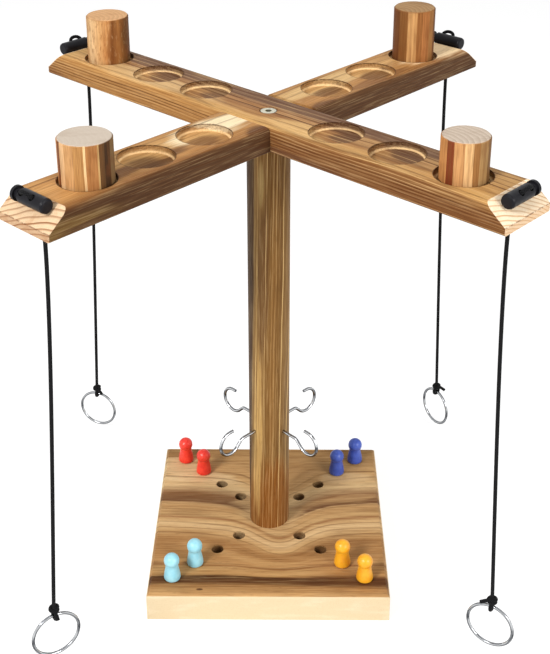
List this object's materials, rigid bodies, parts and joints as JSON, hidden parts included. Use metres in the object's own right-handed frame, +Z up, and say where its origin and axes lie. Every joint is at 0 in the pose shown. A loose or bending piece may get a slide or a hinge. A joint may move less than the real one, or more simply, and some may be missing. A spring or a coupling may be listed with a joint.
{
  "type": "ring toss game",
  "caption": "Tabletop ring toss game: square board with a round post, screw hooks and score pegs, and a cross of arms with pockets, blocks and rings on cords.",
  "frame": {"origin": "middle of the board's underside", "axes": "+Z up along the post, the front of the game towards -Y, +X to the right seen from the front"},
  "size_m": [0.2877, 0.2889, 0.3412],
  "materials": {
    "board_wood": "brown acacia-like board, oiled, with pale sides",
    "post_wood": "brown wood with upright grain, oiled",
    "through_arm_wood": "brown wood with strong light and dark lines, oiled",
    "crossed_arm_wood": "tan top and darker sides, oiled",
    "bolt_metal": "satin plated steel",
    "insert_brass": "plain brass",
    "wire_chrome": "bright plated wire",
    "block_fl_wood": "glued light staves, sanded",
    "block_fr_wood": "glued light staves, sanded",
    "block_rl_wood": "tan to dark brown, sanded",
    "block_rr_wood": "warm brown staves, sanded",
    "peg_sky": "satin light blue",
    "peg_orange": "satin orange",
    "peg_red": "satin red",
    "peg_blue": "satin blue",
    "lock_plastic": "matte black",
    "spring_steel": "plain steel",
    "cord_black": "braided black cord"
  },
  "bodies": {
    "stand": {"base_board": "board_wood", "centre_post": "post_wood", "through_arm": "through_arm_wood", "crossed_arm": "crossed_arm_wood", "top_bolt": "bolt_metal", "foot_bolt": "bolt_metal", "top_insert": "insert_brass", "foot_insert": "insert_brass", "hook_fl": "wire_chrome", "hook_fr": "wire_chrome", "hook_rl": "wire_chrome", "hook_rr": "wire_chrome", "barrel_fl": "lock_plastic", "barrel_fr": "lock_plastic", "barrel_rl": "lock_plastic", "barrel_rr": "lock_plastic", "spring_fl": "spring_steel", "spring_fr": "spring_steel", "spring_rl": "spring_steel", "spring_rr": "spring_steel", "loop_fl": "cord_black", "loop_fr": "cord_black", "loop_rl": "cord_black", "loop_rr": "cord_black"},
    "plunger_fl": {"plunger_fl": "lock_plastic"},
    "block_fl": {"block_fl": "block_fl_wood"},
    "peg_sky_inner": {"peg_sky_inner": "peg_sky"},
    "peg_sky_outer": {"peg_sky_outer": "peg_sky"},
    "line_fl": {"cord_fl": "cord_black", "knot_fl": "cord_black"},
    "ring_fl": {"ring_fl": "wire_chrome"},
    "plunger_fr": {"plunger_fr": "lock_plastic"},
    "block_fr": {"block_fr": "block_fr_wood"},
    "peg_orange_inner": {"peg_orange_inner": "peg_orange"},
    "peg_orange_outer": {"peg_orange_outer": "peg_orange"},
    "line_fr": {"cord_fr": "cord_black", "knot_fr": "cord_black"},
    "ring_fr": {"ring_fr": "wire_chrome"},
    "plunger_rl": {"plunger_rl": "lock_plastic"},
    "block_rl": {"block_rl": "block_rl_wood"},
    "peg_red_inner": {"peg_red_inner": "peg_red"},
    "peg_red_outer": {"peg_red_outer": "peg_red"},
    "line_rl": {"cord_rl": "cord_black", "knot_rl": "cord_black"},
    "ring_rl": {"ring_rl": "wire_chrome"},
    "plunger_rr": {"plunger_rr": "lock_plastic"},
    "block_rr": {"block_rr": "block_rr_wood"},
    "peg_blue_inner": {"peg_blue_inner": "peg_blue"},
    "peg_blue_outer": {"peg_blue_outer": "peg_blue"},
    "line_rr": {"cord_rr": "cord_black", "knot_rr": "cord_black"},
    "ring_rr": {"ring_rr": "wire_chrome"}
  },
  "joints": [
    {"name": "plunger_fl_press", "type": "slide", "parent": "stand", "child": "plunger_fl", "axis": [0.7373, -0.6756, 0], "range_m": [0, 0.0027], "stiffness_N_per_m": 400, "springref_m": -0.003},
    {"name": "block_fl_lift", "type": "slide", "parent": "stand", "child": "block_fl", "axis": [0, 0, 1], "range_m": [0, 0.06]},
    {"name": "peg_sky_inner_lift", "type": "slide", "parent": "stand", "child": "peg_sky_inner", "axis": [0, 0, 1], "range_m": [0, 0.03]},
    {"name": "peg_sky_outer_lift", "type": "slide", "parent": "stand", "child": "peg_sky_outer", "axis": [0, 0, 1], "range_m": [0, 0.03]},
    {"name": "line_fl_swing", "type": "hinge", "parent": "stand", "child": "line_fl", "pos_m": [-0.10795, -0.12373, 0.29405], "axis": [0.7373, -0.6756, 0], "range_deg": [-30, 12]},
    {"name": "ring_fl_swing", "type": "hinge", "parent": "line_fl", "child": "ring_fl", "pos_m": [-0.11809, -0.13479, 0.0598], "axis": [0.848, 0.5299, 0], "range_deg": [-40, 40]},
    {"name": "plunger_fr_press", "type": "slide", "parent": "stand", "child": "plunger_fr", "axis": [-0.6756, -0.7373, 0], "range_m": [0, 0.0027], "stiffness_N_per_m": 400, "springref_m": -0.003},
    {"name": "block_fr_lift", "type": "slide", "parent": "stand", "child": "block_fr", "axis": [0, 0, 1], "range_m": [0, 0.06]},
    {"name": "peg_orange_inner_lift", "type": "slide", "parent": "stand", "child": "peg_orange_inner", "axis": [0, 0, 1], "range_m": [0, 0.03]},
    {"name": "peg_orange_outer_lift", "type": "slide", "parent": "stand", "child": "peg_orange_outer", "axis": [0, 0, 1], "range_m": [0, 0.03]},
    {"name": "line_fr_swing", "type": "hinge", "parent": "stand", "child": "line_fr", "pos_m": [0.1198, -0.1152, 0.29405], "axis": [0.6756, 0.7373, 0], "range_deg": [-30, 12]},
    {"name": "ring_fr_swing", "type": "hinge", "parent": "line_fr", "child": "ring_fr", "pos_m": [0.12717, -0.12196, 0.0558], "axis": [0.848, -0.5299, 0], "range_deg": [-40, 40]},
    {"name": "plunger_rl_press", "type": "slide", "parent": "stand", "child": "plunger_rl", "axis": [-0.6756, -0.7373, 0], "range_m": [0, 0.0027], "stiffness_N_per_m": 400, "springref_m": -0.003},
    {"name": "block_rl_lift", "type": "slide", "parent": "stand", "child": "block_rl", "axis": [0, 0, 1], "range_m": [0, 0.06]},
    {"name": "peg_red_inner_lift", "type": "slide", "parent": "stand", "child": "peg_red_inner", "axis": [0, 0, 1], "range_m": [0, 0.03]},
    {"name": "peg_red_outer_lift", "type": "slide", "parent": "stand", "child": "peg_red_outer", "axis": [0, 0, 1], "range_m": [0, 0.03]},
    {"name": "line_rl_swing", "type": "hinge", "parent": "stand", "child": "line_rl", "pos_m": [-0.12164, 0.11689, 0.29405], "axis": [-0.6756, -0.7373, 0], "range_deg": [-30, 8]},
    {"name": "ring_rl_swing", "type": "hinge", "parent": "line_rl", "child": "ring_rl", "pos_m": [-0.13196, 0.12635, 0.0318], "axis": [0.9511, -0.309, 0], "range_deg": [-40, 40]},
    {"name": "plunger_rr_press", "type": "slide", "parent": "stand", "child": "plunger_rr", "axis": [0.7373, -0.6756, 0], "range_m": [0, 0.0027], "stiffness_N_per_m": 400, "springref_m": -0.003},
    {"name": "block_rr_lift", "type": "slide", "parent": "stand", "child": "block_rr", "axis": [0, 0, 1], "range_m": [0, 0.06]},
    {"name": "peg_blue_inner_lift", "type": "slide", "parent": "stand", "child": "peg_blue_inner", "axis": [0, 0, 1], "range_m": [0, 0.03]},
    {"name": "peg_blue_outer_lift", "type": "slide", "parent": "stand", "child": "peg_blue_outer", "axis": [0, 0, 1], "range_m": [0, 0.03]},
    {"name": "line_rr_swing", "type": "hinge", "parent": "stand", "child": "line_rr", "pos_m": [0.1173, 0.12209, 0.29405], "axis": [-0.7373, 0.6756, 0], "range_deg": [-30, 8]},
    {"name": "ring_rr_swing", "type": "hinge", "parent": "line_rr", "child": "ring_rr", "pos_m": [0.1254, 0.13093, 0.0318], "axis": [0.5299, -0.848, 0], "range_deg": [-40, 40]}
  ]
}
